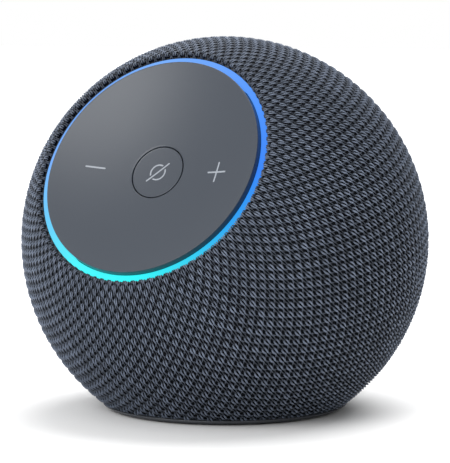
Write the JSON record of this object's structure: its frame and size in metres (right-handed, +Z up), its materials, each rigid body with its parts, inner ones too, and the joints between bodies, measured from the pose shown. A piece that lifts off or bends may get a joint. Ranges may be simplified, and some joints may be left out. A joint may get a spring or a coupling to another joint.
{
  "type": "smart speaker",
  "caption": "Ball-shaped voice speaker in a knitted sleeve, with a tilted dished touch face, a light ring round it and a flat foot.",
  "frame": {"origin": "centre of the flat underside, on the table", "axes": "+Z up, -Y towards the listener (the tilted face looks to -Y and up), +X to the right of the object as seen from behind it"},
  "size_m": [0.1086, 0.108, 0.0992],
  "materials": {
    "knit": "knitted, matt",
    "black_plastic": "moulded, matt",
    "shell_plastic": "moulded, matt",
    "rim_plastic": "satin",
    "rubber_pad": "matt",
    "seal_foam": "foam seal",
    "face_plastic": "satin, moulded in colour",
    "legend_ink": "pale inlay",
    "light_guide": "translucent, lit from behind",
    "led_white": "moulded package",
    "board": "solder resist over glass laminate",
    "steel": "zinc plated",
    "can_steel": "tinned",
    "cast_aluminium": "cast",
    "copper_wire": "enamelled winding",
    "pin_metal": "nickel plated",
    "ferrite": "ferrite",
    "cone_paper": "coated pulp",
    "surround_rubber": "matt roll",
    "spider_cloth": "resin-dipped",
    "dome_silk": "coated silk",
    "tin_tag": "tinned",
    "cable": "flat film cable",
    "wire_red": "insulation",
    "thermal": "gap pad",
    "cap_sleeve": "can",
    "connector_white": "moulded"
  },
  "bodies": {
    "speaker": {"knit_sleeve": "knit", "sleeve_clamp_ring": "black_plastic", "front_housing": "shell_plastic", "rear_housing": "shell_plastic", "housing_gasket": "seal_foam", "housing_screws": "steel", "base_plate": "shell_plastic", "base_ring": "rim_plastic", "foot_pad": "rubber_pad", "base_screws": "steel", "port_bezel": "black_plastic", "dc_jack_shell": "black_plastic", "dc_jack_pin": "pin_metal", "light_ring": "light_guide", "led_board": "board", "leds": "led_white", "microphones": "can_steel", "button_board": "board", "mute_switch": "black_plastic", "volume_switches": "black_plastic", "button_guide": "black_plastic", "face_carrier": "shell_plastic", "face_screws": "steel", "ribbon_cable": "cable", "woofer_basket": "steel", "woofer_top_plate": "steel", "woofer_magnet": "ferrite", "woofer_yoke": "steel", "woofer_surround": "surround_rubber", "woofer_spider": "spider_cloth", "woofer_terminals": "tin_tag", "woofer_gasket": "seal_foam", "woofer_screws": "steel", "woofer_wires": "wire_red", "tweeter_frame": "black_plastic", "tweeter_magnet": "steel", "tweeter_gasket": "seal_foam", "tweeter_screws": "steel", "tweeter_wires": "wire_red", "main_board": "board", "shield_cans": "can_steel", "board_connectors": "connector_white", "capacitors": "cap_sleeve", "heat_sink": "cast_aluminium", "thermal_pad": "thermal", "board_screws": "steel", "antenna_boards": "board"},
    "face": {"face_plate": "face_plastic", "legend_minus": "legend_ink", "legend_plus": "legend_ink"},
    "mute": {"mute_button": "face_plastic", "legend_mute": "legend_ink"},
    "cone": {"woofer_cone": "cone_paper", "dust_cap": "cone_paper", "voice_coil": "copper_wire"},
    "dome": {"tweeter_dome": "dome_silk"}
  },
  "joints": [
    {"name": "volume_rock", "type": "hinge", "parent": "speaker", "child": "face", "pos_m": [0, -0.03206, 0.06411], "axis": [0, 0.515, 0.8572], "range_deg": [-0.9, 0.9], "stiffness_Nm_per_rad": 2.3},
    {"name": "mute_press", "type": "slide", "parent": "speaker", "child": "mute", "axis": [0, 0.8572, -0.515], "range_m": [0, 0.0004], "stiffness_N_per_m": 3000, "springref_m": -0.0001},
    {"name": "woofer_excursion", "type": "slide", "parent": "speaker", "child": "cone", "axis": [0, 0.8988, 0.4384], "range_m": [-0.0022, 0.0022], "stiffness_N_per_m": 1500, "deforming": ["woofer_surround", "woofer_spider"]},
    {"name": "tweeter_excursion", "type": "slide", "parent": "speaker", "child": "dome", "axis": [0, -0.788, -0.6157], "range_m": [-0.0002, 0.0002], "stiffness_N_per_m": 6000}
  ]
}
